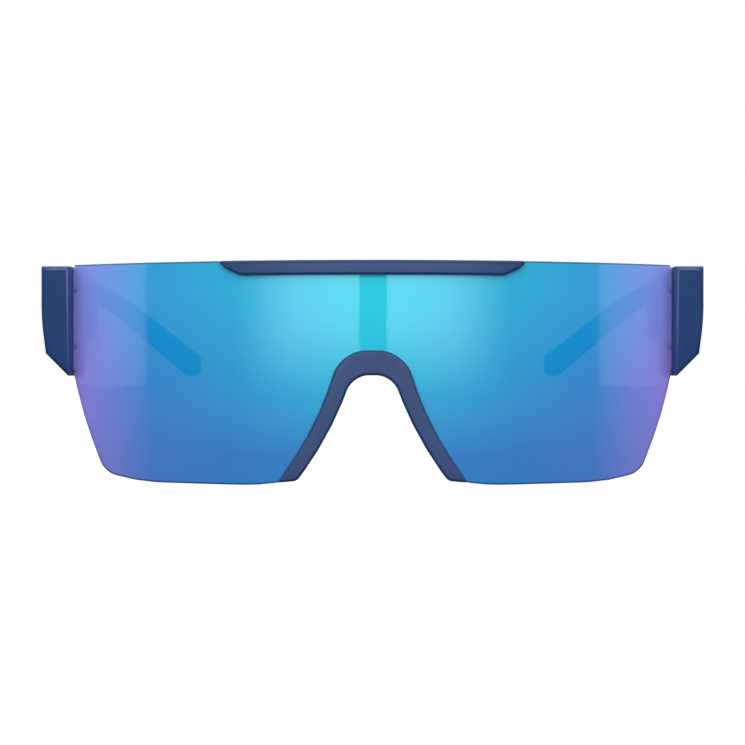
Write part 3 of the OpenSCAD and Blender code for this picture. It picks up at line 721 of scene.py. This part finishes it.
def studio_floor():
    """A plain pale floor, lit so evenly that it runs into the white behind."""
    deselect()
    bpy.ops.mesh.primitive_grid_add(x_subdivisions=2, y_subdivisions=2, size=8,
                                    location=(0, 0, 0))
    floor = bpy.context.object
    floor.name = "floor"
    material, tree = start_material("white_matt_vinyl")
    seen = add_node(tree, "ShaderNodeLightPath").outputs["Is Camera Ray"]
    matt = add_node(tree, "ShaderNodeBsdfDiffuse", {"Color": linear("#6c6f76")})
    glow = add_node(tree, "ShaderNodeEmission", {"Color": linear("#ffffff"), "Strength": 0.9})
    lit = add_node(tree, "ShaderNodeAddShader", links={0: matt.outputs[0],
                                                       1: glow.outputs[0]})
    finish_material(tree, add_node(tree, "ShaderNodeMixShader",
                                   links={0: seen, 1: matt.outputs[0], 2: lit.outputs[0]}))
    floor.data.materials.append(material)


studio_floor()

deselect()
bpy.ops.object.light_add(type="AREA", location=(0, lens_low.y - 1.2, 0.52))
key = bpy.context.object
key.name = "key_light"
key.data.shape = "RECTANGLE"
key.data.size, key.data.size_y = 2.0, 0.7
key.data.energy = 12
key.rotation_euler = (math.radians(68), 0, 0)
key.visible_glossy = False

SOFTBOX_Y, SOFTBOX_W, SOFTBOX_H, SOFTBOX_Z = lens_low.y - 0.70, 0.56, 0.46, 0.235
SOFTBOX_POWER = 2.2
for sign, near in ((1, 0.051), (-1, 0.046)):
    deselect()
    bpy.ops.mesh.primitive_plane_add(size=1, location=(0, 0, 0))
    softbox = bpy.context.object
    softbox.name = "softbox_" + ("left" if sign > 0 else "right")
    softbox.scale = (SOFTBOX_W, SOFTBOX_H, 1)
    softbox.rotation_euler = (math.radians(90), 0, 0)
    softbox.location = (sign * (near + 0.28), SOFTBOX_Y, SOFTBOX_Z)
    bpy.ops.object.transform_apply(location=True, rotation=True, scale=True)
    material, tree = start_material("softbox_cloth_" + ("left" if sign > 0 else "right"))
    place = add_node(tree, "ShaderNodeTexCoord").outputs["Object"]
    axes = add_node(tree, "ShaderNodeSeparateXYZ", links={"Vector": place})
    outward = add_node(tree, "ShaderNodeMapRange",
                       {"From Min": sign * 0.24, "From Max": sign * 0.60, "To Min": 1.0,
                        "To Max": 0.0, "interpolation_type": "SMOOTHSTEP"},
                       {"Value": axes.outputs["X"]}).outputs[0]
    upward = add_node(tree, "ShaderNodeMapRange",
                      {"From Min": 0.006, "From Max": 0.055,
                       "interpolation_type": "SMOOTHSTEP"},
                      {"Value": axes.outputs["Z"]}).outputs[0]
    power = add_node(tree, "ShaderNodeMath", {"operation": "MULTIPLY"},
                     {0: outward, 1: upward})
    power = add_node(tree, "ShaderNodeMath", {"operation": "MULTIPLY", 1: SOFTBOX_POWER},
                     {0: power.outputs[0]})
    glow = add_node(tree, "ShaderNodeEmission", {"Color": linear("#ffffff")},
                    {"Strength": power.outputs[0]})
    clear = add_node(tree, "ShaderNodeBsdfTransparent")
    finish_material(tree, add_node(tree, "ShaderNodeAddShader",
                                   links={0: glow.outputs[0], 1: clear.outputs[0]}))
    softbox.data.materials.append(material)
    softbox.visible_camera = False

world = bpy.data.worlds.new("studio_room")
bpy.context.scene.world = world
world.use_nodes = True
tree = world.node_tree
tree.nodes.clear()
way = add_node(tree, "ShaderNodeTexCoord").outputs["Generated"]
axes = add_node(tree, "ShaderNodeSeparateXYZ", links={"Vector": way})
ahead = add_node(tree, "ShaderNodeMath", {"operation": "MULTIPLY", 1: -1.0},
                 {0: axes.outputs["Y"]})
bearing = add_node(tree, "ShaderNodeMath", {"operation": "ARCTAN2"},
                   {0: axes.outputs["X"], 1: ahead.outputs[0]}).outputs[0]
wide = add_node(tree, "ShaderNodeMath", {"operation": "ABSOLUTE"}, {0: bearing}).outputs[0]
wall = ramp(tree, add_node(tree, "ShaderNodeMapRange", {"From Max": math.pi},
                           {"Value": wide}).outputs[0],
            [(0.0, "#000000"), (0.024, "#000000"), (0.026, "#707070"), (0.361, "#707070"),
             (0.366, "#ffffff"), (1.0, "#ffffff")])
high = add_node(tree, "ShaderNodeMapRange",
                {"From Min": 0.35, "From Max": 0.7, "interpolation_type": "SMOOTHSTEP"},
                {"Value": axes.outputs["Z"]}).outputs[0]
room = add_node(tree, "ShaderNodeMix", {"data_type": "RGBA", 7: (1.25, 1.25, 1.25, 1)},
                {0: high, 6: wall}).outputs[2]
seen = add_node(tree, "ShaderNodeLightPath").outputs["Is Camera Ray"]
shown = add_node(tree, "ShaderNodeMix", {"data_type": "RGBA", 7: (1, 1, 1, 1)},
                 {0: seen, 6: room}).outputs[2]
add_node(tree, "ShaderNodeOutputWorld",
         links={"Surface": add_node(tree, "ShaderNodeBackground",
                                    links={"Color": shown}).outputs[0]})
bpy.context.scene.view_settings.view_transform = "Standard"

deselect()
